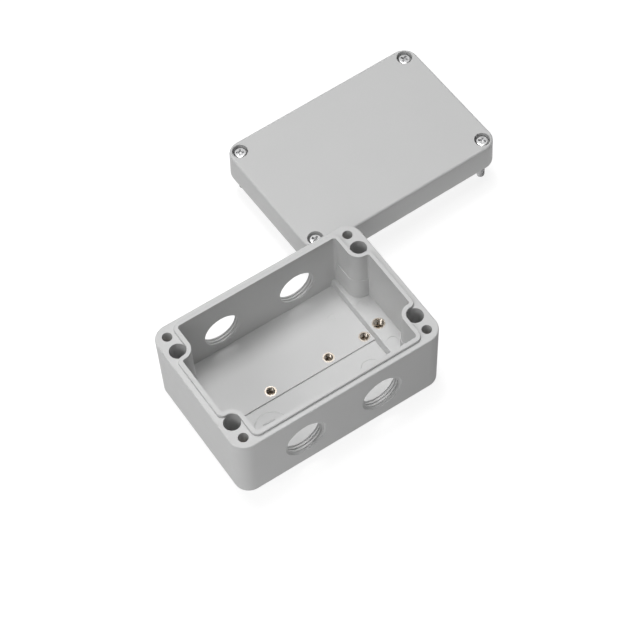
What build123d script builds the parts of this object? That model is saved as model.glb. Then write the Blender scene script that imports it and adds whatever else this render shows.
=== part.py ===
"""Small moulded terminal box with its lid taken off and stood behind it on its four cover screws.

The base is a deep tray of glass-filled polyester. Its rear face lies on Z = 0, centred on the origin,
X runs along the long side and Y towards the side where the lid stands. All sizes are in millimetres.
"""

from build123d import *
from math import cos, isclose, radians, sin, tan
import os

os.makedirs("parts", exist_ok=True)

# Outer form that base and lid share
box_length = 110.0
box_width = 75.0
corner_radius = 7.9

# Base: outer walls
base_height = 40.0
base_draft = 0.86
rim_rounding = 0.6
rear_rounding = 1.0

# Base: land under the lid's rim, and the sealing lip round the cavity
land_at_ends = 2.75
land_at_sides = 2.5
lip_width = 2.15
lip_height = 1.5
lip_rounding = 0.5

# Base: cavity
cavity_draft = 0.8
cavity_corner = 1.6
floor_thickness = 5.0
front_step = 0.85
front_strip_width = 28.9
pad_height = 4.2
pad_length = 10.9
pad_slope = 0.55
pad_rounding = 0.5

# Corner bosses: a blind cover screw hole near the corner and a wall fixing hole beside it
hole_inset = 6.25
cover_hole_inset = 6.0
cover_hole_radius = 2.4
cover_tip_room = 4.0
wall_hole_inset = 15.0
wall_hole_radius = 2.2
wall_head_radius = 4.0
wall_seat_height = 6.0
boss_wall = 2.1
boss_ledge_height = 22.5
boss_ledge_width = 0.25

# Cable entries: two tapped holes in each long wall
entry_radius = 10.0
entry_chamfer = 0.75
entry_spacing = 41.0
entry_height = 19.1

# Marks that the mould leaves on the pad and the floor
ejector_radius = 3.0
ejector_depth = 0.2
pad_mark_spacing = 24.5
pad_mark_inset = 6.35
floor_mark_radius = 1.8
floor_mark_depth = 0.1
floor_mark_from_end = 20.6
floor_mark_from_side = 15.5
front_marks_from_side = 16.7
front_mark_radius = 5.4
front_mark_depth = 0.2
front_mark_from_end = 20.7
gate_disc_radius = 8.6
gate_disc_height = 0.5
gate_disc_from_end = 24.6
gate_bar_length = 6.4
gate_bar_width = 1.2
gate_bar_height = 0.3
gate_bar_from_centre = 3.0
mark_bevel = 60.0

# Brass inserts
cover_insert_radius = 3.0
cover_insert_length = 8.0
cover_insert_depth = 8.0
rail_insert_radius = 2.8
rail_insert_length = 4.0
rail_insert_spacing = 32.0
end_rail_insert_inset = 14.1
earth_insert_radius = 3.2
earth_insert_length = 6.0
earth_insert_inset = 6.05
insert_chamfer = 0.35
thread_radius_m4 = 1.65
thread_radius_m5 = 2.1

# Lid
lid_height = 15.0
lid_draft = 1.3
lid_edge_rounding = 1.1
lid_rim_rounding = 0.4
lid_top_thickness = 3.5
lid_hollow_draft = 1.5
groove_clearance = 0.4
groove_wall = 1.5
gasket_thickness = 1.6
gasket_squeeze = 0.2
gasket_clearance = 0.1

# Cover screws, M4, captive in the lid
screw_radius = 2.0
screw_length = 25.0
screw_tip_chamfer = 0.5
head_radius = 3.2
head_height = 2.5
head_rounding = 0.7
head_sunk = 0.9
recess_length = 3.8
recess_width = 0.9
recess_depth = 1.4
recess_taper = 8.0
recess_turns = (-60.0, -46.0, -31.0, -57.0)
head_room = 0.7
seat_gap = 0.1
shank_room = 0.25
ring_thickness = 0.8
ring_radius = 3.1
ring_clearance = 0.03
ring_pocket_room = 0.4
ring_pocket_depth = 2.4
ring_seat_gap = 0.3

# Where the lid stands behind the base
lid_shift = 88.0
lid_gap = 3.0
lid_turn = 1.25

# Sizes that follow from the ones above
cavity_x = box_length / 2 - land_at_ends - lip_width
cavity_y = box_width / 2 - land_at_sides - lip_width
hole_x = box_length / 2 - hole_inset
cover_hole_y = box_width / 2 - cover_hole_inset
wall_hole_y = box_width / 2 - wall_hole_inset
boss_radius = wall_head_radius + boss_wall
boss_face_x = hole_x - boss_radius
boss_end_y = wall_hole_y - boss_radius
boss_foot_rounding = min(cavity_corner, 0.8 * (cavity_x - hole_x))
lip_top = base_height + lip_height
ledge_growth = boss_ledge_width + (lip_top - boss_ledge_height) * tan(radians(cavity_draft))
ledge_root = lip_width / 2
front_floor = floor_thickness - front_step
step_y = front_strip_width - cavity_y
pad_top = floor_thickness + pad_height
pad_foot_x = cavity_x - pad_length
front_marks_y = front_marks_from_side - cavity_y
gate_disc_x = gate_disc_from_end - cavity_x
gate_disc_top = front_floor + gate_disc_height
rail_insert_places = (-rail_insert_spacing / 2, rail_insert_spacing / 2, cavity_x - end_rail_insert_inset)
groove_depth = lip_height + gasket_thickness - gasket_squeeze
head_top = lid_height - head_sunk
head_seat = head_top - head_height
screw_tip = head_seat - screw_length
ring_top = ring_pocket_depth - ring_seat_gap
lid_x_dir = (cos(radians(lid_turn)), sin(radians(lid_turn)), 0)
lid_plane = Plane(origin=(lid_shift, box_width + lid_gap, -screw_tip), x_dir=lid_x_dir, z_dir=(0, 0, 1))
four_corners = [(side_x, side_y) for side_y in (-1, 1) for side_x in (-1, 1)]


def cavity_outline(growth=0.0):
    """Plan of the cavity: a rectangle that steps in round the bosses, grown outwards on request."""
    with BuildSketch() as outline:
        Rectangle(2 * cavity_x, 2 * cavity_y)
        with GridLocations(2 * cavity_x, 2 * cavity_y, 2, 2):
            Rectangle(2 * (cavity_x - boss_face_x), 2 * (cavity_y - boss_end_y), mode=Mode.SUBTRACT)
        boss_corners = outline.vertices().filter_by(
            lambda point: isclose(abs(point.X), boss_face_x, abs_tol=0.01)
            and isclose(abs(point.Y), boss_end_y, abs_tol=0.01)
        )
        fillet(boss_corners, boss_radius)
        boss_feet = outline.vertices().filter_by(lambda point: isclose(abs(point.X), cavity_x, abs_tol=0.01))
        fillet(boss_feet, boss_foot_rounding)
        long_wall_corners = outline.vertices().filter_by(lambda point: isclose(abs(point.Y), cavity_y, abs_tol=0.01))
        fillet(long_wall_corners, cavity_corner)
        if growth:
            offset(amount=growth, kind=Kind.ARC)
    return outline.sketch


cavity_plan = cavity_outline()
lip_plan = cavity_outline(lip_width)

# Base housing
with BuildPart() as base_housing:
    with BuildSketch(Plane.XY.offset(base_height)):
        RectangleRounded(box_length, box_width, corner_radius)
    extrude(amount=-base_height, taper=base_draft)
    fillet(base_housing.faces().sort_by(Axis.Z)[-1].edges(), rim_rounding)
    fillet(base_housing.faces().sort_by(Axis.Z)[0].edges(), rear_rounding)

    with BuildSketch(Plane.XY.offset(base_height)):
        add(lip_plan)
    extrude(amount=lip_height)
    fillet(base_housing.faces().sort_by(Axis.Z)[-1].edges(), lip_rounding)

    with BuildSketch(Plane.XY.offset(lip_top)):
        add(cavity_plan)
    extrude(amount=front_floor - lip_top, taper=cavity_draft, mode=Mode.SUBTRACT)

    with BuildSketch(Plane.XY.offset(boss_ledge_height)) as ledges:
        with GridLocations(
            cavity_x + ledge_root + boss_face_x - ledge_growth,
            cavity_y + ledge_root + boss_end_y - ledge_growth,
            2,
            2,
        ):
            Rectangle(
                cavity_x + ledge_root - boss_face_x + ledge_growth,
                cavity_y + ledge_root - boss_end_y + ledge_growth,
            )
        ledge_corners = ledges.vertices().filter_by(
            lambda point: isclose(abs(point.X), boss_face_x - ledge_growth, abs_tol=0.01)
            and isclose(abs(point.Y), boss_end_y - ledge_growth, abs_tol=0.01)
        )
        fillet(ledge_corners, boss_radius + ledge_growth)
    extrude(amount=front_floor - boss_ledge_height, taper=-cavity_draft)

    with BuildSketch(Plane.XY.offset(front_floor)):
        with Locations((0, (step_y + cavity_y) / 2)):
            Rectangle(2 * cavity_x, cavity_y - step_y)
    extrude(amount=front_step)

    with BuildSketch(Plane.XZ.offset(-cavity_y)) as pad_profile:
        with BuildLine():
            Polyline(
                (pad_foot_x, front_floor),
                (pad_foot_x, floor_thickness),
                (pad_foot_x + pad_slope, pad_top),
                (cavity_x, pad_top),
                (cavity_x, front_floor),
                close=True,
            )
        make_face()
        pad_edge = pad_profile.vertices().filter_by(
            lambda point: isclose(point.X, pad_foot_x + pad_slope, abs_tol=0.01)
        )
        fillet(pad_edge, pad_rounding)
    extrude(amount=2 * cavity_y)

    with BuildSketch(Plane.XY.offset(front_floor)):
        with Locations((gate_disc_x, front_marks_y)):
            Circle(gate_disc_radius)
    extrude(amount=gate_disc_height, taper=mark_bevel)
    with BuildSketch(Plane.XY.offset(gate_disc_top)):
        with Locations((gate_disc_x, front_marks_y + gate_bar_from_centre)):
            SlotOverall(gate_bar_length, gate_bar_width)
    extrude(amount=gate_bar_height, taper=mark_bevel)
    with BuildSketch(Plane.XY.offset(front_floor)):
        with Locations((cavity_x - front_mark_from_end, front_marks_y)):
            Circle(front_mark_radius)
    extrude(amount=-front_mark_depth, taper=mark_bevel, mode=Mode.SUBTRACT)
    with BuildSketch(Plane.XY.offset(floor_thickness)):
        with Locations((cavity_x - floor_mark_from_end, cavity_y - floor_mark_from_side)):
            Circle(floor_mark_radius)
    extrude(amount=-floor_mark_depth, taper=mark_bevel, mode=Mode.SUBTRACT)

    with Locations((0, 0, lip_top)):
        with GridLocations(2 * hole_x, 2 * wall_hole_y, 2, 2):
            CounterBoreHole(wall_hole_radius, wall_head_radius, lip_top - wall_seat_height, depth=lip_top)
    with Locations((0, 0, base_height)):
        with GridLocations(2 * hole_x, 2 * cover_hole_y, 2, 2):
            Hole(cover_hole_radius, depth=cover_insert_depth + cover_insert_length + cover_tip_room)
    with BuildSketch(Plane.XY.offset(base_height - cover_insert_depth)):
        with GridLocations(2 * hole_x, 2 * cover_hole_y, 2, 2):
            Circle(cover_insert_radius)
    extrude(amount=-cover_insert_length, mode=Mode.SUBTRACT)

    with BuildSketch(Plane.XZ.offset(box_width / 2)):
        with Locations((0, entry_height)):
            with GridLocations(entry_spacing, box_width, 2, 1):
                Circle(entry_radius)
    extrude(amount=-box_width, mode=Mode.SUBTRACT)
    entry_mouths = base_housing.edges().filter_by(
        lambda edge: abs(edge.bounding_box().center().Y) > box_width / 2 - land_at_sides
        and isclose(edge.bounding_box().size.Z, 2 * entry_radius, abs_tol=0.01)
    )
    chamfer(entry_mouths, entry_chamfer)

    with Locations(*[(place, 0, floor_thickness) for place in rail_insert_places]):
        Hole(rail_insert_radius, depth=rail_insert_length)
    with Locations((cavity_x - earth_insert_inset, 0, pad_top)):
        Hole(earth_insert_radius, depth=earth_insert_length)
    with Locations((cavity_x - pad_mark_inset, 0, pad_top)):
        with GridLocations(1, pad_mark_spacing, 1, 2):
            Hole(ejector_radius, depth=ejector_depth)
base_housing.part.label = "base_housing"
export_step(base_housing.part, "parts/base_housing.step")

# Brass inserts moulded into the base


def threaded_insert(mouth, radius, length, thread_radius):
    """Open brass bush with its mouth at the given point and its thread as a plain bore."""
    with BuildPart() as insert:
        with BuildSketch(Plane.XY.offset(mouth[2])):
            with Locations(mouth[:2]):
                Circle(radius)
                Circle(thread_radius, mode=Mode.SUBTRACT)
        extrude(amount=-length)
        mouth_edges = insert.faces().sort_by(Axis.Z)[-1].edges().sort_by(SortBy.RADIUS)
        chamfer(mouth_edges[0], insert_chamfer)
    return insert


for number, place in enumerate(rail_insert_places, start=1):
    rail_insert = threaded_insert(
        (place, 0, floor_thickness), rail_insert_radius, rail_insert_length, thread_radius_m4
    )
    rail_insert.part.label = f"rail_insert_{number}"
    export_step(rail_insert.part, f"parts/rail_insert_{number}.step")

earth_insert = threaded_insert(
    (cavity_x - earth_insert_inset, 0, pad_top), earth_insert_radius, earth_insert_length, thread_radius_m5
)
earth_insert.part.label = "earth_insert"
export_step(earth_insert.part, "parts/earth_insert.step")

for number, (side_x, side_y) in enumerate(four_corners, start=1):
    cover_insert = threaded_insert(
        (side_x * hole_x, side_y * cover_hole_y, base_height - cover_insert_depth),
        cover_insert_radius,
        cover_insert_length,
        thread_radius_m4,
    )
    cover_insert.part.label = f"cover_insert_{number}"
    export_step(cover_insert.part, f"parts/cover_insert_{number}.step")

# Lid: a shallow cover with a groove for the lip, made where it stands
hollow_plan = cavity_outline(-groove_clearance - groove_wall)
groove_outer_plan = cavity_outline(lip_width + groove_clearance)
groove_inner_plan = cavity_outline(-groove_clearance)

with BuildPart() as lid:
    with BuildSketch(lid_plane):
        RectangleRounded(box_length, box_width, corner_radius)
    extrude(amount=lid_height, taper=lid_draft)
    fillet(lid.faces().sort_by(Axis.Z)[-1].edges(), lid_edge_rounding)
    fillet(lid.faces().sort_by(Axis.Z)[0].edges(), lid_rim_rounding)
    with BuildSketch(lid_plane):
        add(hollow_plan)
    extrude(amount=lid_height - lid_top_thickness, taper=lid_hollow_draft, mode=Mode.SUBTRACT)
    with BuildSketch(lid_plane):
        add(groove_outer_plan)
        add(groove_inner_plan, mode=Mode.SUBTRACT)
    extrude(amount=groove_depth, mode=Mode.SUBTRACT)
    with BuildSketch(lid_plane):
        with GridLocations(2 * hole_x, 2 * cover_hole_y, 2, 2):
            Circle(screw_radius + shank_room)
    extrude(amount=lid_height, mode=Mode.SUBTRACT)
    with BuildSketch(lid_plane.offset(lid_height)):
        with GridLocations(2 * hole_x, 2 * cover_hole_y, 2, 2):
            Circle(head_radius + head_room)
    extrude(amount=head_seat - seat_gap - lid_height, mode=Mode.SUBTRACT)
    with BuildSketch(lid_plane):
        with GridLocations(2 * hole_x, 2 * cover_hole_y, 2, 2):
            Circle(ring_radius + ring_pocket_room)
    extrude(amount=ring_pocket_depth, mode=Mode.SUBTRACT)
lid.part.label = "lid"
export_step(lid.part, "parts/lid.step")

# Gasket: a closed strip that lies on the bottom of the lid's groove
gasket_outer_plan = cavity_outline(lip_width + groove_clearance - gasket_clearance)
gasket_inner_plan = cavity_outline(gasket_clearance - groove_clearance)

with BuildPart() as lid_gasket:
    with BuildSketch(lid_plane.offset(groove_depth - gasket_thickness)):
        add(gasket_outer_plan)
        add(gasket_inner_plan, mode=Mode.SUBTRACT)
    extrude(amount=gasket_thickness)
lid_gasket.part.label = "lid_gasket"
export_step(lid_gasket.part, "parts/lid_gasket.step")

# Cover screws and the rings that keep them in the lid
for number, ((side_x, side_y), turn) in enumerate(zip(four_corners, recess_turns), start=1):
    foot = lid_plane.from_local_coords((side_x * hole_x, side_y * cover_hole_y, 0))
    half_plane = Plane(origin=foot, x_dir=(1, 0, 0), z_dir=(0, -1, 0))
    turned_plane = Plane(origin=foot, x_dir=(cos(radians(turn)), sin(radians(turn)), 0), z_dir=(0, 0, 1))

    with BuildPart() as lid_screw:
        with BuildSketch(half_plane):
            with BuildLine():
                Polyline(
                    (0, screw_tip),
                    (screw_radius - screw_tip_chamfer, screw_tip),
                    (screw_radius, screw_tip + screw_tip_chamfer),
                    (screw_radius, head_seat),
                    (head_radius, head_seat),
                    (head_radius, head_top - head_rounding),
                )
                RadiusArc(
                    (head_radius, head_top - head_rounding),
                    (head_radius - head_rounding, head_top),
                    -head_rounding,
                )
                Polyline((head_radius - head_rounding, head_top), (0, head_top), (0, screw_tip))
            make_face()
        revolve(axis=Axis(foot, (0, 0, 1)))
        with BuildSketch(turned_plane.offset(head_top)):
            Rectangle(recess_length, recess_width)
            Rectangle(recess_width, recess_length)
        extrude(amount=-recess_depth, taper=recess_taper, mode=Mode.SUBTRACT)
    lid_screw.part.label = f"lid_screw_{number}"
    export_step(lid_screw.part, f"parts/lid_screw_{number}.step")

    with BuildPart() as screw_ring:
        with BuildSketch(turned_plane.offset(ring_top)):
            Circle(ring_radius)
            Circle(screw_radius + ring_clearance, mode=Mode.SUBTRACT)
        extrude(amount=-ring_thickness)
    screw_ring.part.label = f"screw_ring_{number}"
    export_step(screw_ring.part, f"parts/screw_ring_{number}.step")
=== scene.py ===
"""Looks of a small moulded terminal box with its lid taken off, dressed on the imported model.

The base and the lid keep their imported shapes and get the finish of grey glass-filled polyester. The cover
screws, the brass bushes and the turns of thread in the cable entries are made here. Lengths are in metres.
"""

import logging
import math
from dataclasses import dataclass, field
from enum import Enum

import bmesh
import bpy
from mathutils import Matrix, Vector


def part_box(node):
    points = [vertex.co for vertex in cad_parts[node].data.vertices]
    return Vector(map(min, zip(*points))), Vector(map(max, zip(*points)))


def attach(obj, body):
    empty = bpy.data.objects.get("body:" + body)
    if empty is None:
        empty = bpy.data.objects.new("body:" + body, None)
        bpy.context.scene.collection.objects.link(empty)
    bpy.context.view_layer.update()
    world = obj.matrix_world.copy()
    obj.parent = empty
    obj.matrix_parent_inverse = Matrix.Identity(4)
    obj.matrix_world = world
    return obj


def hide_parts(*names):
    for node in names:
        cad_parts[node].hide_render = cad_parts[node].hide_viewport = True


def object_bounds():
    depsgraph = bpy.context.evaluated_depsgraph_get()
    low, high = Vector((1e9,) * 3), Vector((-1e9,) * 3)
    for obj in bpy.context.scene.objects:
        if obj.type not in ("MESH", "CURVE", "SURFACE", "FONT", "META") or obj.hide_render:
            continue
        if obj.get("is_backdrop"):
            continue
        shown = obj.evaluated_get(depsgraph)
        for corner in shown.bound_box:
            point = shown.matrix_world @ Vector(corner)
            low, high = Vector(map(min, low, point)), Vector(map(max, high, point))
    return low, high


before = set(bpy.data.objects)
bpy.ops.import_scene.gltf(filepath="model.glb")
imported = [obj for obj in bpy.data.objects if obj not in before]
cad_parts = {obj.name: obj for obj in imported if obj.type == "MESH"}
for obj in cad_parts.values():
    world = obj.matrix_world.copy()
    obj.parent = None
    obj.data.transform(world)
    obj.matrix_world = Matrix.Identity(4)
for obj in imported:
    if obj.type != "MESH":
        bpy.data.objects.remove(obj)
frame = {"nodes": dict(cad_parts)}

MM = 0.001
LOCAL_PLACE = "local_place"
MERGE_DISTANCE = 0.001 * MM
SHARP_ANGLE_DEG = 32
THREAD_FOOT_SHARE = 0.46
THREAD_SUNK_SHARE = 0.08
THREAD_END_SWELL = 0.03
NOISE_LOW = 0.3
NOISE_HIGH = 0.7
NOISE_ROUGHNESS = 0.55
BLACK = (0.0, 0.0, 0.0)
WHITE = (1.0, 1.0, 1.0)
log = logging.getLogger("terminal_box")


class Metal(Enum):
    """The two metals of the box."""

    BRASS = "brass"
    STEEL = "stainless_steel"


class TreeWriter:
    """Adds nodes to one node tree and links them by the names of their sockets."""

    def __init__(self, tree: bpy.types.NodeTree) -> None:
        """Keep the tree that the nodes go into.

        Args:
            tree: A shader tree or a geometry tree.
        """
        self.tree = tree

    def add(self, kind: str, inputs: dict | None = None, **settings: object) -> bpy.types.Node:
        """Add one node, set its properties and fill its inputs.

        Args:
            kind: Blender's name of the node type.
            inputs: Values, fields or sockets, by the name or number of the input that they go to.
            **settings: Properties of the node itself.

        Returns:
            The new node.
        """
        node = self.tree.nodes.new(kind)
        for name, value in settings.items():
            setattr(node, name, value)
        for key, value in (inputs or {}).items():
            self.feed(node.inputs[key], value)
        return node

    def feed(self, socket: bpy.types.NodeSocket, value: object) -> None:
        """Give one input its value, or link it to the socket that feeds it.

        Args:
            socket: The input.
            value: A plain value, a Field or an output socket.
        """
        if isinstance(value, Field):
            value = value.socket
        if isinstance(value, bpy.types.NodeSocket):
            self.tree.links.new(value, socket)
        else:
            socket.default_value = value

    def number(self, socket: bpy.types.NodeSocket) -> "Field":
        """Wrap an output socket as a number that can be reckoned with."""
        return Field(self, socket)


@dataclass(frozen=True)
class Field:
    """A number inside a node tree, with the signs of plain arithmetic."""

    writer: TreeWriter
    socket: bpy.types.NodeSocket

    def work(self, operation: str, *values: object) -> "Field":
        """Run one operation of the Math node.

        Args:
            operation: The operation's name.
            *values: Its numbers or fields, in order.

        Returns:
            The result as a field.
        """
        node = self.writer.add("ShaderNodeMath", dict(enumerate(values)), operation=operation)
        return Field(self.writer, node.outputs[0])

    def __add__(self, other: object) -> "Field":
        """Add."""
        return self.work("ADD", self, other)

    def __sub__(self, other: object) -> "Field":
        """Take away."""
        return self.work("SUBTRACT", self, other)

    def __rsub__(self, other: object) -> "Field":
        """Take this away from a plain number."""
        return self.work("SUBTRACT", other, self)

    def __mul__(self, other: object) -> "Field":
        """Multiply."""
        return self.work("MULTIPLY", self, other)

    def __truediv__(self, other: object) -> "Field":
        """Divide."""
        return self.work("DIVIDE", self, other)


class ShapeTree(TreeWriter):
    """A geometry tree with named inputs, which makes one kind of piece."""

    def __init__(self, name: str, sizes: dict[str, float], counts: dict[str, int] | None = None) -> None:
        """Make the tree with its named inputs.

        Args:
            name: The tree's name.
            sizes: The inputs that are lengths or angles, with the values they start from.
            counts: The inputs that are whole numbers.
        """
        super().__init__(bpy.data.node_groups.new(name, "GeometryNodeTree"))
        sockets = self.tree.interface
        sockets.new_socket("Geometry", in_out="OUTPUT", socket_type="NodeSocketGeometry")
        for label, value in sizes.items():
            sockets.new_socket(label, in_out="INPUT", socket_type="NodeSocketFloat").default_value = value
        for label, value in (counts or {}).items():
            sockets.new_socket(label, in_out="INPUT", socket_type="NodeSocketInt").default_value = value
        sockets.new_socket("Place", in_out="INPUT", socket_type="NodeSocketVector")
        sockets.new_socket("Direction", in_out="INPUT", socket_type="NodeSocketRotation")
        sockets.new_socket("Finish", in_out="INPUT", socket_type="NodeSocketMaterial")
        self.given = self.add("NodeGroupInput").outputs

    def size(self, label: str) -> Field:
        """One of the named inputs, as a number."""
        return self.number(self.given[label])

    def turned(
        self, section: list[tuple], steps: int, closed: bool = False, knurl: tuple = (),
    ) -> bpy.types.NodeSocket:
        """Turn a section round the Z axis.

        Args:
            section: Radius and height of each point, from the lower end of the axis to the upper one.
            steps: Flats in one turn.
            closed: Whether the section is a loop that doesn't touch the axis.
            knurl: For each point, how far every other flat is cut in, or nothing for a smooth piece.

        Returns:
            The socket of the turned mesh, closed.
        """
        points = list(section) + ([section[0]] if closed else [])
        rows = len(points)
        grid = self.add("GeometryNodeMeshGrid", {"Vertices X": steps + 1, "Vertices Y": rows})
        index = self.add("GeometryNodeInputIndex").outputs[0]
        row = self.add("FunctionNodeIntegerMath", {0: index, 1: rows}, operation="MODULO").outputs[0]
        column = self.add("FunctionNodeIntegerMath", {0: index, 1: rows}, operation="DIVIDE_FLOOR").outputs[0]
        angle = self.number(column) * (2 * math.pi / steps)
        radius = self.chosen(row, [point[0] for point in points])
        height = self.chosen(row, [point[1] for point in points])
        if knurl:
            cut = self.chosen(row, list(knurl))
            radius = radius - cut * self.number(column).work("MODULO", self.number(column), 2.0)
        place = self.add("ShaderNodeCombineXYZ", {
            "X": radius * angle.work("COSINE", angle),
            "Y": radius * angle.work("SINE", angle),
            "Z": height,
        })
        bent = self.add("GeometryNodeSetPosition", {
            "Geometry": grid.outputs["Mesh"], "Position": place.outputs[0],
        })
        whole = self.add("GeometryNodeMergeByDistance", {
            "Geometry": bent.outputs[0], "Distance": MERGE_DISTANCE,
        })
        return whole.outputs[0]

    def chosen(self, row: bpy.types.NodeSocket, values: list) -> Field:
        """Pick one of several numbers by its row.

        Args:
            row: The socket that gives the row.
            values: A number or a field for each row.

        Returns:
            The number of that row.
        """
        switch = self.add("GeometryNodeIndexSwitch", data_type="FLOAT")
        while len(switch.index_switch_items) < len(values):
            switch.index_switch_items.new()
        self.feed(switch.inputs["Index"], row)
        for number, value in enumerate(values):
            self.feed(switch.inputs[str(number)], value)
        return self.number(switch.outputs[0])

    def thread(
        self, radius: object, height: object, pitch: object, start: object, stop: object, steps: object,
        crest_share: float = 0.22, run_out: float = 0.5,
    ) -> bpy.types.NodeSocket:
        """Wind one ridge of thread round the Z axis, from one height up to another.

        Args:
            radius: Radius of the face that the ridge stands on.
            height: Height of the ridge, below zero where it points towards the axis.
            pitch: Rise of one turn.
            start: Height at which the middle of the ridge starts.
            stop: Height at which it ends.
            steps: Points in one turn.
            crest_share: Width of the ridge's crest as a share of the pitch.
            run_out: Turns over which the ridge grows and dies away at its ends.

        Returns:
            The socket of the ridge, closed at both ends, where it runs out to nothing.
        """
        length = self.size_of(stop) - start
        turns = length / pitch
        spiral = self.add("GeometryNodeCurveSpiral", {
            "Resolution": steps, "Rotations": turns, "Height": length,
            "Start Radius": radius, "End Radius": radius,
        })
        upright = self.add("GeometryNodeSetCurveNormal", {"Curve": spiral.outputs[0]})
        upright.mode = "Z_UP"
        along = self.number(self.add("GeometryNodeSplineParameter").outputs["Factor"]) * turns
        left = turns - along
        nearer = along.work("MINIMUM", along, left) * (1 / run_out)
        swell = nearer.work("MAXIMUM", nearer.work("MINIMUM", nearer, 1.0), THREAD_END_SWELL)
        foot = self.size_of(pitch) * THREAD_FOOT_SHARE
        crest = self.size_of(pitch) * (crest_share / 2)
        sunk = self.size_of(height) * -THREAD_SUNK_SHARE
        corners = [(sunk, foot * -1.0), (sunk, foot), (height, crest), (height, crest * -1.0)]
        outline = self.add("GeometryNodeCurvePrimitiveQuadrilateral", {
            f"Point {number}": self.add("ShaderNodeCombineXYZ", {"X": x * -1.0, "Y": y}).outputs[0]
            for number, (x, y) in enumerate(corners, start=1)
        }, mode="POINTS")
        ridge = self.add("GeometryNodeCurveToMesh", {
            "Curve": upright.outputs[0], "Profile Curve": outline.outputs[0],
            "Scale": swell, "Fill Caps": True,
        })
        return self.raised(ridge.outputs[0], start)

    def raised(self, mesh: bpy.types.NodeSocket, height: object) -> bpy.types.NodeSocket:
        """Move a mesh up along the Z axis.

        Args:
            mesh: The mesh.
            height: How far.

        Returns:
            The socket of the moved mesh.
        """
        rise = self.add("ShaderNodeCombineXYZ", {"Z": height}).outputs[0]
        return self.add("GeometryNodeTransform", {"Geometry": mesh, "Translation": rise}).outputs[0]

    def rolled(self, mesh: bpy.types.NodeSocket, axis: str, angle: object) -> bpy.types.NodeSocket:
        """Turn a mesh round one axis.

        Args:
            mesh: The mesh.
            axis: X, Y or Z.
            angle: How far, in radians.

        Returns:
            The socket of the turned mesh.
        """
        turn = self.add("ShaderNodeCombineXYZ", {axis: angle}).outputs[0]
        return self.add("GeometryNodeTransform", {"Geometry": mesh, "Rotation": turn}).outputs[0]

    def size_of(self, value: object) -> Field:
        """Make a field of a plain number, and leave a field as it is.

        Args:
            value: A plain number or a field.

        Returns:
            The field.
        """
        if isinstance(value, Field):
            return value
        node = self.add("ShaderNodeValue")
        node.outputs[0].default_value = value
        return self.number(node.outputs[0])

    def end(self, *meshes: bpy.types.NodeSocket) -> None:
        """Join the meshes, put them in their place and give them their finish.

        Args:
            *meshes: The sockets of the meshes, made round the origin.
        """
        joined = self.add("GeometryNodeJoinGeometry")
        for mesh in meshes:
            self.tree.links.new(mesh, joined.inputs[0])
        place = self.add("GeometryNodeInputPosition").outputs[0]
        marked = self.add("GeometryNodeStoreNamedAttribute", {
            "Geometry": joined.outputs[0], "Name": LOCAL_PLACE,
        }, data_type="FLOAT_VECTOR")
        self.tree.links.new(place, marked.inputs["Value"])
        placed = self.add("GeometryNodeTransform", {
            "Geometry": marked.outputs[0],
            "Translation": self.given["Place"], "Rotation": self.given["Direction"],
        })
        real = self.add("GeometryNodeRealizeInstances", {"Geometry": placed.outputs[0]})
        dressed = self.add("GeometryNodeSetMaterial", {
            "Geometry": real.outputs[0], "Material": self.given["Finish"],
        })
        self.tree.links.new(dressed.outputs[0], self.add("NodeGroupOutput").inputs[0])

    def make(self, name: str, values: dict[str, object]) -> bpy.types.Object:
        """Run the tree and keep its result as a plain mesh.

        Args:
            name: Name of the piece.
            values: Values of the named inputs that differ from the ones they start from.

        Returns:
            The new piece, with its normals outward and no modifier left on it.
        """
        carrier = bpy.data.objects.new(name + "_source", bpy.data.meshes.new(name + "_source"))
        bpy.context.scene.collection.objects.link(carrier)
        modifier = carrier.modifiers.new("shape", "NODES")
        modifier.node_group = self.tree
        sockets = self.tree.interface.items_tree
        identifiers = {item.name: item.identifier for item in sockets if item.in_out == "INPUT"}
        for label, value in values.items():
            modifier[identifiers[label]] = value
        seen = carrier.evaluated_get(bpy.context.evaluated_depsgraph_get())
        mesh = bpy.data.meshes.new_from_object(seen)
        bpy.data.objects.remove(carrier)
        outward(mesh)
        mesh.shade_smooth()
        mesh.set_sharp_from_angle(angle=math.radians(SHARP_ANGLE_DEG))
        piece = bpy.data.objects.new(name, mesh)
        bpy.context.scene.collection.objects.link(piece)
        log.info("%s: %d faces", name, len(mesh.polygons))
        return piece


def outward(mesh: bpy.types.Mesh) -> None:
    """Turn every face of a closed mesh outward.

    Args:
        mesh: The mesh, changed in place.
    """
    shell = bmesh.new()
    shell.from_mesh(mesh)
    bmesh.ops.recalc_face_normals(shell, faces=shell.faces)
    shell.to_mesh(mesh)
    shell.free()


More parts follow.
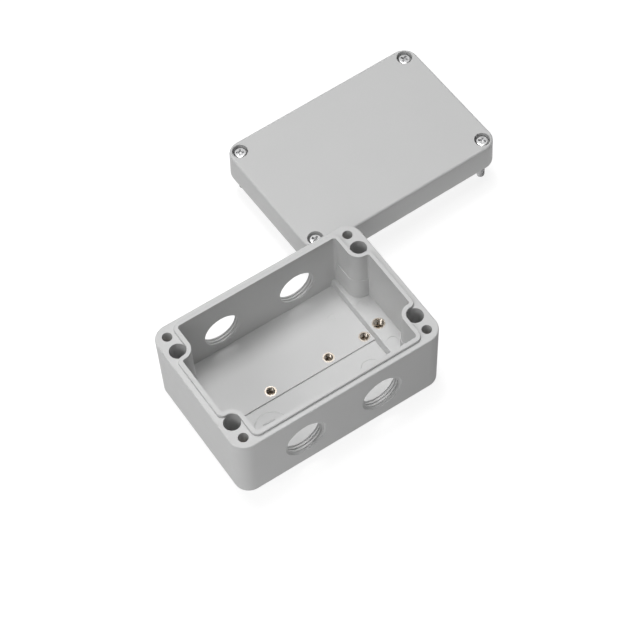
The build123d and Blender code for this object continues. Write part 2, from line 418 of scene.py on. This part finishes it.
class Surface(TreeWriter):
    """The node tree of one material, with the short cuts that the finishes share."""

    def __init__(self, name: str) -> None:
        """Make the material with its shader.

        Args:
            name: The material's name.
        """
        self.material = bpy.data.materials.new(name)
        self.material.use_nodes = True
        super().__init__(self.material.node_tree)
        self.shader = self.tree.nodes["Principled BSDF"]
        self.place = self.add("ShaderNodeTexCoord").outputs["Object"]

    def noise(self, size: float, place: bpy.types.NodeSocket | None = None, detail: float = 3.0) -> Field:
        """Soft random pattern.

        Args:
            size: Size of its patches.
            place: Coordinates that it follows, or none for the object's own.
            detail: Number of finer layers in it.

        Returns:
            The pattern, about 0.5 on average.
        """
        node = self.add("ShaderNodeTexNoise", {
            "Vector": place or self.place, "Scale": 1.0 / size, "Detail": detail,
            "Roughness": NOISE_ROUGHNESS,
        })
        return self.number(node.outputs["Fac"])

    def ramp(self, value: object, low: float, high: float, start: float, end: float) -> Field:
        """Map a number from one range to another and hold it there.

        Args:
            value: The number.
            low: Start of its range.
            high: End of its range.
            start: Result at the start.
            end: Result at the end.

        Returns:
            The mapped number.
        """
        node = self.add("ShaderNodeMapRange", {
            "Value": value, "From Min": low, "From Max": high, "To Min": start, "To Max": end,
        })
        return self.number(node.outputs[0])

    def colour(self, amount: Field, first: tuple, second: tuple) -> bpy.types.NodeSocket:
        """Blend two colours.

        Args:
            amount: 0 for the first colour, 1 for the second.
            first: Red, green and blue of the first.
            second: Red, green and blue of the second.

        Returns:
            The socket of the blended colour.
        """
        mix = self.add("ShaderNodeMix", data_type="RGBA")
        self.feed(mix.inputs["Factor"], amount)
        mix.inputs[6].default_value = (*first, 1.0)
        mix.inputs[7].default_value = (*second, 1.0)
        return mix.outputs[2]

    def bump(
        self, height: Field, depth: float, before: bpy.types.NodeSocket | None = None,
    ) -> bpy.types.NodeSocket:
        """Fine relief.

        Args:
            height: Pattern of the relief, from 0 to 1.
            depth: Its depth.
            before: Relief that it lies on.

        Returns:
            The socket of the bent normal.
        """
        node = self.add("ShaderNodeBump", {"Height": height, "Distance": depth, "Strength": 1.0})
        if before:
            self.feed(node.inputs["Normal"], before)
        return node.outputs[0]

    def finish(self, **values: object) -> bpy.types.Material:
        """Fill the shader's inputs.

        Args:
            **values: Values or sockets by input name, with _ for each space.

        Returns:
            The finished material.
        """
        for name, value in values.items():
            self.feed(self.shader.inputs[name.replace("_", " ")], value)
        return self.material


@dataclass(frozen=True)
class PolyesterFinish:
    """Grey glass-filled polyester: matt, with soft flow clouds, short fibres and a fine grain."""

    grey: float = 0.62
    cloud_size: float = 22 * MM
    cloud_contrast: float = 0.035
    fibre_size: float = 0.55 * MM
    fibre_contrast: float = 0.05
    grain_size: float = 0.16 * MM
    grain_depth: float = 0.006 * MM
    green_tint: float = 1.003
    fibre_band: tuple[float, float] = (0.56, 0.72)
    speck_band: tuple[float, float] = (0.24, 0.34)
    speck_share: float = 0.6
    wave_share: float = 6.0
    roughness: float = 0.46
    smoother: float = 0.05
    rougher: float = 0.07

    def make(self, name: str) -> bpy.types.Material:
        """Build the material.

        Args:
            name: The material's name.

        Returns:
            The material.
        """
        surface = Surface(name)
        cloud = surface.ramp(surface.noise(self.cloud_size, detail=2.0), NOISE_LOW, NOISE_HIGH, 0.0, 1.0)
        fibre = surface.ramp(surface.noise(self.fibre_size, detail=5.0), *self.fibre_band, 0.0, 1.0)
        specks = surface.noise(self.fibre_size * self.speck_share, detail=2.0)
        speck = surface.ramp(specks, *self.speck_band, 1.0, 0.0)
        tone = cloud * self.cloud_contrast + fibre * self.fibre_contrast - speck * self.fibre_contrast
        low = self.grey * (1 - self.cloud_contrast / 2)
        shade = surface.colour(tone, (low, low * self.green_tint, low), WHITE)
        grain = surface.bump(surface.noise(self.grain_size, detail=4.0), self.grain_depth)
        waves = surface.noise(self.fibre_size * self.wave_share, detail=1.0)
        wave = surface.bump(waves, self.grain_depth * 2, grain)
        patches = surface.noise(self.cloud_size / 4)
        least, most = self.roughness - self.smoother, self.roughness + self.rougher
        gloss = surface.ramp(patches, NOISE_LOW, NOISE_HIGH, least, most)
        return surface.finish(Base_Color=shade, Roughness=gloss, Normal=wave, IOR=1.52)


@dataclass(frozen=True)
class MetalFinish:
    """Turned metal: bright, with the fine rings that the tool leaves round the axis."""

    metal: Metal
    bright: tuple[float, float, float]
    dull: tuple[float, float, float]
    roughness: float
    ring_size: float = 0.09 * MM
    ring_depth: float = 0.004 * MM
    stain_size: float = 1.6 * MM
    stain_start: float = 0.35
    smoother: float = 0.06
    rougher: float = 0.08

    def make(self) -> bpy.types.Material:
        """Build the material, which follows the place that each piece stores on itself.

        Returns:
            The material.
        """
        surface = Surface(self.metal.value)
        own = surface.add("ShaderNodeAttribute", attribute_name=LOCAL_PLACE).outputs["Vector"]
        parts = surface.add("ShaderNodeSeparateXYZ", {0: own})
        flat = surface.add("ShaderNodeCombineXYZ", {"X": parts.outputs[0], "Y": parts.outputs[1]})
        reach = surface.add("ShaderNodeVectorMath", {0: flat.outputs[0]}, operation="LENGTH").outputs["Value"]
        rings = surface.add("ShaderNodeCombineXYZ", {"X": reach, "Z": parts.outputs[2]}).outputs[0]
        turned = surface.noise(self.ring_size, rings, detail=2.0)
        stain = surface.ramp(surface.noise(self.stain_size, own), self.stain_start, NOISE_HIGH, 0.0, 1.0)
        shade = surface.colour(stain, self.bright, self.dull)
        least, most = self.roughness - self.smoother, self.roughness + self.rougher
        gloss = surface.ramp(turned, NOISE_LOW, NOISE_HIGH, least, most)
        relief = surface.bump(turned, self.ring_depth)
        return surface.finish(Base_Color=shade, Roughness=gloss, Normal=relief, Metallic=1.0)


@dataclass(frozen=True)
class SoftFinish:
    """Dark foam rubber or nylon: nearly black, with open pores or a faint grain."""

    name: str
    shade: tuple[float, float, float]
    pore_size: float
    pore_depth: float
    roughness: float
    pore_band: tuple[float, float] = (0.32, 0.6)
    pore_shade: float = 0.55
    pore_roughness: float = 0.1

    def make(self) -> bpy.types.Material:
        """Build the material.

        Returns:
            The material.
        """
        surface = Surface(self.name)
        pores = surface.ramp(surface.noise(self.pore_size, detail=4.0), *self.pore_band, 0.0, 1.0)
        darker = tuple(part * self.pore_shade for part in self.shade)
        shade = surface.colour(pores, darker, self.shade)
        gloss = surface.ramp(pores, 0.0, 1.0, self.roughness + self.pore_roughness, self.roughness)
        return surface.finish(Base_Color=shade, Roughness=gloss, Normal=surface.bump(pores, self.pore_depth))


@dataclass
class Housing:
    """Base and lid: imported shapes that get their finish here."""

    nodes: dict[str, bpy.types.Object]
    base: PolyesterFinish = PolyesterFinish()
    lid: PolyesterFinish = PolyesterFinish(grey=0.59, cloud_contrast=0.02)

    def dress(self) -> bpy.types.Material:
        """Give base and lid their finish.

        Returns:
            The base's material, which the threads moulded into it share.
        """
        shell = self.base.make("base_polyester")
        self.put("base_housing", shell)
        self.put("lid", self.lid.make("lid_polyester"))
        rubber = SoftFinish(
            "gasket_rubber", shade=(0.035, 0.035, 0.038),
            pore_size=0.35 * MM, pore_depth=0.03 * MM, roughness=0.75,
        ).make()
        self.put("lid_gasket", rubber)
        nylon = SoftFinish(
            "ring_nylon", shade=(0.03, 0.03, 0.03),
            pore_size=0.2 * MM, pore_depth=0.004 * MM, roughness=0.4,
        ).make()
        for number in range(1, 5):
            self.put(f"screw_ring_{number}", nylon)
        return shell

    def put(self, node: str, material: bpy.types.Material) -> None:
        """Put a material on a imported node.

        Args:
            node: The node's name.
            material: The material.
        """
        slots = self.nodes[node].data.materials
        slots.clear()
        slots.append(material)
        log.info("%s: dressed", node)


@dataclass
class EntryThreads:
    """The moulded thread of the four cable entries, M20 with a pitch of 1.5."""

    bore_radius: float = 10.0 * MM
    ridge_height: float = 0.75 * MM
    pitch: float = 1.5 * MM
    steps_per_turn: int = 96
    spacing: float = 41.0 * MM
    height: float = 19.1 * MM
    outer_face: float = 37.18 * MM
    inner_face: float = 32.54 * MM
    wall_draft_deg: float = 0.8
    mouth_chamfer: float = 0.75 * MM
    crest_share: float = 0.5
    margin: float = 0.3 * MM
    run_out: float = 0.15
    start_turn_deg: float = 54.0

    def tree(self) -> ShapeTree:
        """Make the tree that winds one thread, cuts it flush with its wall and turns it into its place.

        Returns:
            The tree.
        """
        shape = ShapeTree("entry_thread", {
            "Bore radius": self.bore_radius, "Ridge height": self.ridge_height, "Pitch": self.pitch,
            "Length": self.outer_face - self.inner_face - self.mouth_chamfer,
            "Start turn": 0.0, "Wall tilt": 0.0,
        }, {"Steps per turn": self.steps_per_turn})
        bore, height, pitch = shape.size("Bore radius"), shape.size("Ridge height"), shape.size("Pitch")
        length, steps = shape.size("Length"), shape.given["Steps per turn"]
        ridge = shape.thread(
            bore, height * -1.0, pitch, pitch * -0.5, length + pitch * 0.5, steps,
            crest_share=self.crest_share, run_out=self.run_out,
        )
        wound = shape.rolled(ridge, "Z", shape.size("Start turn"))
        inside = height + self.margin
        section = [
            (bore - inside, shape.size_of(0.0)), (bore + self.margin, shape.size_of(0.0)),
            (bore + self.margin, length), (bore - inside, length),
        ]
        ring = shape.turned(section, self.steps_per_turn, closed=True)
        wall = shape.rolled(ring, "X", shape.size("Wall tilt"))
        cut = shape.add("GeometryNodeMeshBoolean", operation="INTERSECT", solver="EXACT")
        for mesh in (wound, wall):
            shape.tree.links.new(mesh, cut.inputs["Mesh 2"])
        shape.end(cut.outputs[0])
        return shape

    def build(self, finish: bpy.types.Material) -> None:
        """Make the four threads.

        Args:
            finish: The base's material.
        """
        shape = self.tree()
        for wall, side in (("front", -1), ("back", 1)):
            for end, along in (("left", -1), ("right", 1)):
                thread = shape.make(f"entry_thread_{wall}_{end}", {
                    "Start turn": math.radians(self.start_turn_deg),
                    "Wall tilt": math.radians(-side * self.wall_draft_deg),
                    "Place": (along * self.spacing / 2, side * self.inner_face, self.height),
                    "Direction": (-side * math.pi / 2, 0.0, 0.0),
                    "Finish": finish,
                })
                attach(thread, "box")


@dataclass
class Bushes:
    """Brass bushes moulded into the base, each with a knurled outside, a closed foot and a real thread."""

    chamfer: float = 0.12 * MM
    knurl_depth: float = 0.14 * MM
    collar: float = 0.5 * MM
    collar_and_slope: float = 0.6 * MM
    web: float = 0.4 * MM
    run_out: float = 0.2
    steps: int = 64

    def tree(self) -> ShapeTree:
        """Make the tree that turns one bush and winds its thread.

        Returns:
            The tree.
        """
        shape = ShapeTree("threaded_bush", {
            "Outer radius": 2.8 * MM, "Length": 4 * MM, "Thread radius": 2 * MM, "Core radius": 1.65 * MM,
            "Pitch": 0.7 * MM,
        })
        outer, length, bore = shape.size("Outer radius"), shape.size("Length"), shape.size("Thread radius")
        axis = top = shape.size_of(0.0)
        low = length * -1.0
        section = [
            (axis, low), (outer, low), (outer, low + self.collar), (outer, low + self.collar_and_slope),
            (outer, top - self.collar_and_slope), (outer, top - self.collar), (outer, top),
            (bore + self.chamfer, top), (bore, top - self.chamfer),
            (bore, low + self.web), (axis, low + self.web),
        ]
        knurl = (0.0, 0.0, 0.0, self.knurl_depth, self.knurl_depth, 0.0, 0.0, 0.0, 0.0, 0.0, 0.0)
        body = shape.turned(section, self.steps, knurl=knurl)
        rise, pitch = shape.size("Core radius") - bore, shape.size("Pitch")
        start, stop = low + pitch + self.web, top - pitch * THREAD_FOOT_SHARE
        ridge = shape.thread(bore, rise, pitch, start, stop, self.steps // 2, run_out=self.run_out)
        shape.end(body, ridge)
        return shape

    def build(self, finish: bpy.types.Material) -> None:
        """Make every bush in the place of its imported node.

        Args:
            finish: The brass.
        """
        shape = self.tree()
        m4 = {"Thread radius": 2.0 * MM, "Core radius": 1.65 * MM, "Pitch": 0.7 * MM}
        m5 = {"Thread radius": 2.5 * MM, "Core radius": 2.1 * MM, "Pitch": 0.8 * MM}
        kinds = [("earth_insert", m5)]
        kinds += [(f"rail_insert_{number}", m4) for number in range(1, 4)]
        kinds += [(f"cover_insert_{number}", m4) for number in range(1, 5)]
        for node, thread in kinds:
            low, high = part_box(node)
            bush = shape.make(node.replace("insert", "bush"), {
                "Outer radius": (high.x - low.x) / 2, "Length": high.z - low.z,
                "Place": ((low.x + high.x) / 2, (low.y + high.y) / 2, high.z),
                "Finish": finish, **thread,
            })
            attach(bush, "box")
            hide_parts(node)


@dataclass
class CoverScrews:
    """Captive cover screws, M4, with a cheese head, a cross recess and a wound thread."""

    head_radius: float = 3.2 * MM
    head_height: float = 2.5 * MM
    head_rounding: float = 0.7 * MM
    crown: float = 0.12 * MM
    crown_ring: float = 0.4
    crown_fall: float = 0.2
    shank_radius: float = 1.98 * MM
    core_radius: float = 1.62 * MM
    pitch: float = 0.7 * MM
    thread_length: float = 15.0 * MM
    tip_chamfer: float = 0.5 * MM
    seat_bevel: float = 0.125 * MM
    recess_length: float = 4.5 * MM
    recess_width: float = 1.1 * MM
    recess_depth: float = 1.9 * MM
    recess_taper: float = 0.3
    turns_deg: tuple[float, ...] = (-60.0, -46.0, -31.0, -57.0)
    steps: int = 72
    edge_steps: int = 5

    def tree(self, length: float) -> ShapeTree:
        """Make the tree of one screw, which has its tip at the origin.

        Args:
            length: Length from tip to the top of the head.

        Returns:
            The tree.
        """
        shape = ShapeTree("cover_screw", {
            "Length": length, "Head radius": self.head_radius, "Head height": self.head_height,
            "Shank radius": self.shank_radius, "Core radius": self.core_radius, "Pitch": self.pitch,
            "Thread length": self.thread_length, "Recess length": self.recess_length,
            "Recess width": self.recess_width, "Recess depth": self.recess_depth,
        })
        top, head, core = shape.size("Length"), shape.size("Head radius"), shape.size("Core radius")
        shank, seat = shape.size("Shank radius"), shape.size("Length") - shape.size("Head height")
        wound = shape.size("Thread length")
        axis = shape.size_of(0.0)
        section = [
            (axis, axis), (core - self.tip_chamfer, axis), (core, axis + self.tip_chamfer), (core, wound),
            (shank, wound + self.pitch), (shank, seat), (head - self.seat_bevel, seat),
            (head, seat + self.seat_bevel),
        ]
        brow = top - self.crown
        for step in range(self.edge_steps + 1):
            angle = math.pi / 2 * step / self.edge_steps
            inset = self.head_rounding * (1 - math.cos(angle))
            drop = self.head_rounding * (1 - math.sin(angle))
            section.append((head - inset, brow - drop))
        section.append((head * self.crown_ring, top - self.crown * self.crown_fall))
        section.append((axis, top))
        body = shape.turned(section, self.steps)
        cut = shape.add("GeometryNodeMeshBoolean", {"Mesh 1": body}, operation="DIFFERENCE", solver="EXACT")
        for quarter in range(2):
            shape.tree.links.new(self.arm(shape, top, quarter), cut.inputs["Mesh 2"])
        rise, pitch = shank - core, shape.size("Pitch")
        ridge = shape.thread(core, rise, pitch, self.tip_chamfer, wound, self.steps // 3)
        shape.end(cut.outputs[0], ridge)
        return shape

    def arm(self, shape: ShapeTree, top: Field, quarter: int) -> bpy.types.NodeSocket:
        """One tapered bar of the cross recess.

        Args:
            shape: The screw's tree.
            top: Height of the head's top.
            quarter: 0 for the bar along X, 1 for the one along Y.

        Returns:
            The socket of the bar's mesh.
        """
        depth = shape.size("Recess depth") * 2.0
        size = shape.add("ShaderNodeCombineXYZ", {
            "X": shape.size("Recess length"), "Y": shape.size("Recess width"), "Z": depth,
        })
        bar = shape.add("GeometryNodeMeshCube", {"Size": size.outputs[0]})
        parts = shape.add("ShaderNodeSeparateXYZ", {0: shape.add("GeometryNodeInputPosition").outputs[0]})
        x, y, z = (shape.number(socket) for socket in parts.outputs)
        below = z.work("LESS_THAN", z, 0.0)
        along = 1.0 - below * self.recess_taper
        across = 1.0 - below * (self.recess_taper / 2)
        narrowed = shape.add("ShaderNodeCombineXYZ", {"X": x * along, "Y": y * across, "Z": z})
        wedge = shape.add("GeometryNodeSetPosition", {
            "Geometry": bar.outputs[0], "Position": narrowed.outputs[0],
        })
        turned = shape.add("GeometryNodeTransform", {
            "Geometry": wedge.outputs[0], "Rotation": (0.0, 0.0, quarter * math.pi / 2),
        })
        return shape.raised(turned.outputs[0], top)

    def build(self, finish: bpy.types.Material) -> None:
        """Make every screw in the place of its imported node.

        Args:
            finish: The steel.
        """
        low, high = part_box("lid_screw_1")
        shape = self.tree(high.z - low.z)
        for number, turn in enumerate(self.turns_deg, start=1):
            low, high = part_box(f"lid_screw_{number}")
            screw = shape.make(f"cover_screw_{number}", {
                "Place": ((low.x + high.x) / 2, (low.y + high.y) / 2, low.z),
                "Direction": (0.0, 0.0, math.radians(turn)),
                "Finish": finish,
            })
            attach(screw, f"screw_{number}")
            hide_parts(f"lid_screw_{number}")


@dataclass(frozen=True)
class SoftBox:
    """One soft studio light that points at the box."""

    name: str
    azimuth_deg: float
    elevation_deg: float
    distance: float
    size: float
    watts: float

    def build(self, target: Vector) -> None:
        """Hang the light.

        Args:
            target: The point that it faces.
        """
        lamp = bpy.data.lights.new(self.name, "AREA")
        lamp.shape = "DISK"
        lamp.size = self.size
        lamp.energy = self.watts
        holder = bpy.data.objects.new(self.name, lamp)
        away = direction(self.azimuth_deg, self.elevation_deg)
        holder.location = target + away * self.distance
        holder.rotation_euler = away.to_track_quat("Z", "Y").to_euler()
        holder.visible_camera = False
        bpy.context.scene.collection.objects.link(holder)


def direction(azimuth_deg: float, elevation_deg: float) -> Vector:
    """Direction from the box towards a viewer or a light.

    Args:
        azimuth_deg: 0 in front of the box, 90 at its +X end.
        elevation_deg: Angle above the table.

    Returns:
        A unit vector.
    """
    azimuth, elevation = math.radians(azimuth_deg), math.radians(elevation_deg)
    flat = math.cos(elevation)
    return Vector((math.sin(azimuth) * flat, -math.cos(azimuth) * flat, math.sin(elevation)))


@dataclass
class Studio:
    """Table, light and camera of the product photograph."""

    azimuth_deg: float = -31.09
    elevation_deg: float = 57.0
    roll_deg: float = -3.2
    distance: float = 1020 * MM
    aside: float = 8.0 * MM
    above: float = 27.4 * MM
    lens: float = 124.2
    sensor_width: float = 36.0
    shift: tuple[float, float] = (0.004, 0.001)
    nearest: float = 0.01
    farthest: float = 50.0
    table_size: float = 6.0
    table_grey: float = 0.3
    table_patch_size: float = 0.4
    table_patch_contrast: float = 0.02
    table_glow: float = 0.8
    bounce_left: float = 0.82
    bounce_right: float = 0.50
    bounce_reach: float = 70 * MM
    bounce_behind: float = 0.95
    behind_start: float = -10 * MM
    behind_full: float = 35 * MM
    sky: float = 0.02
    backdrop: float = 0.95
    lights: tuple[SoftBox, ...] = field(default_factory=lambda: (
        SoftBox("low_left_light", -90.0, 35.0, 1.5, 0.8, 5.7),
        SoftBox("front_left_light", -50.0, 35.0, 1.5, 0.8, 2.4),
        SoftBox("high_back_light", 180.0, 75.0, 1.5, 0.5, 7.4),
        SoftBox("top_light", 0.0, 90.0, 1.5, 0.8, 6.2),
        SoftBox("mirror_light", 149.0, 57.0, 1.5, 1.5, 4.2),
        SoftBox("front_panel", -15.0, 12.0, 1.5, 1.4, 0.9),
    ))

    def camera(self) -> None:
        """Place the camera at the photograph's angle."""
        lens = bpy.data.cameras.new("photo_camera")
        lens.lens = self.lens
        lens.sensor_width = self.sensor_width
        lens.shift_x, lens.shift_y = self.shift
        lens.clip_start = self.nearest
        lens.clip_end = self.farthest
        back = direction(self.azimuth_deg, self.elevation_deg)
        level = Vector((0, 0, 1)).cross(back).normalized()
        rise = back.cross(level)
        roll = math.radians(self.roll_deg)
        right = level * math.cos(roll) + rise * math.sin(roll)
        up = rise * math.cos(roll) - level * math.sin(roll)
        holder = bpy.data.objects.new("photo_camera", lens)
        place = back * self.distance + right * self.aside + up * self.above
        holder.matrix_world = Matrix((right, up, back)).transposed().to_4x4()
        holder.location = place
        bpy.context.scene.collection.objects.link(holder)
        bpy.context.scene.camera = holder

    def table(self) -> None:
        """Lay the pale table under the box, which gives less light back at its front right."""
        half = self.table_size / 2
        mesh = bpy.data.meshes.new("table")
        corners = [(-half, -half, 0), (half, -half, 0), (half, half, 0), (-half, half, 0)]
        mesh.from_pydata(corners, [], [(0, 1, 2, 3)])
        surface = Surface("table_white")
        seen = surface.number(surface.add("ShaderNodeLightPath").outputs["Is Camera Ray"])
        patches = surface.noise(self.table_patch_size) * self.table_patch_contrast
        pale = surface.colour(seen * (patches + self.table_grey), BLACK, WHITE)
        parts = surface.add("ShaderNodeSeparateXYZ", {0: surface.place})
        along, back = surface.number(parts.outputs["X"]), surface.number(parts.outputs["Y"])
        rightward = surface.ramp(along, -self.bounce_reach, self.bounce_reach, 0.0, 1.0)
        front = rightward * (self.bounce_right - self.bounce_left) + self.bounce_left
        behind = surface.ramp(back, self.behind_start, self.behind_full, 0.0, 1.0) * rightward
        bounce = front * (1.0 - behind) + behind * self.bounce_behind
        glow = bounce * (1.0 - seen) + seen * self.table_glow
        mesh.materials.append(surface.finish(
            Base_Color=pale, Roughness=0.7, Specular_IOR_Level=0.0,
            Emission_Color=(*WHITE, 1.0), Emission_Strength=glow,
        ))
        table = bpy.data.objects.new("table", mesh)
        bpy.context.scene.collection.objects.link(table)
        table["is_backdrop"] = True

    def light(self) -> None:
        """Light the table with the soft boxes and a faint sky in front of a pale backdrop."""
        world = bpy.data.worlds.new("studio")
        world.use_nodes = True
        writer = TreeWriter(world.node_tree)
        seen = writer.number(writer.add("ShaderNodeLightPath").outputs["Is Camera Ray"])
        sky = world.node_tree.nodes["Background"]
        sky.inputs["Color"].default_value = (*WHITE, 1.0)
        writer.feed(sky.inputs["Strength"], seen * (self.backdrop - self.sky) + self.sky)
        bpy.context.scene.world = world
        low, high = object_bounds()
        for light in self.lights:
            light.build((low + high) / 2)
        bpy.context.scene.view_settings.view_transform = "Standard"

    def build(self) -> None:
        """Set up the whole studio."""
        self.table()
        self.light()
        self.camera()
        log.info("studio: table, %d lights and camera", len(self.lights))


def main() -> None:
    """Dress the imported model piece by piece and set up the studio."""
    logging.basicConfig(level=logging.INFO, format="%(message)s")
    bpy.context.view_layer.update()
    Studio().build()
    shell = Housing(frame["nodes"]).dress()
    EntryThreads().build(shell)
    brass = MetalFinish(Metal.BRASS, bright=(0.76, 0.70, 0.63), dull=(0.58, 0.50, 0.41), roughness=0.24)
    Bushes().build(brass.make())
    steel = MetalFinish(Metal.STEEL, bright=(0.80, 0.80, 0.80), dull=(0.66, 0.66, 0.67), roughness=0.24)
    CoverScrews().build(steel.make())


if __name__ == "__main__":
    main()
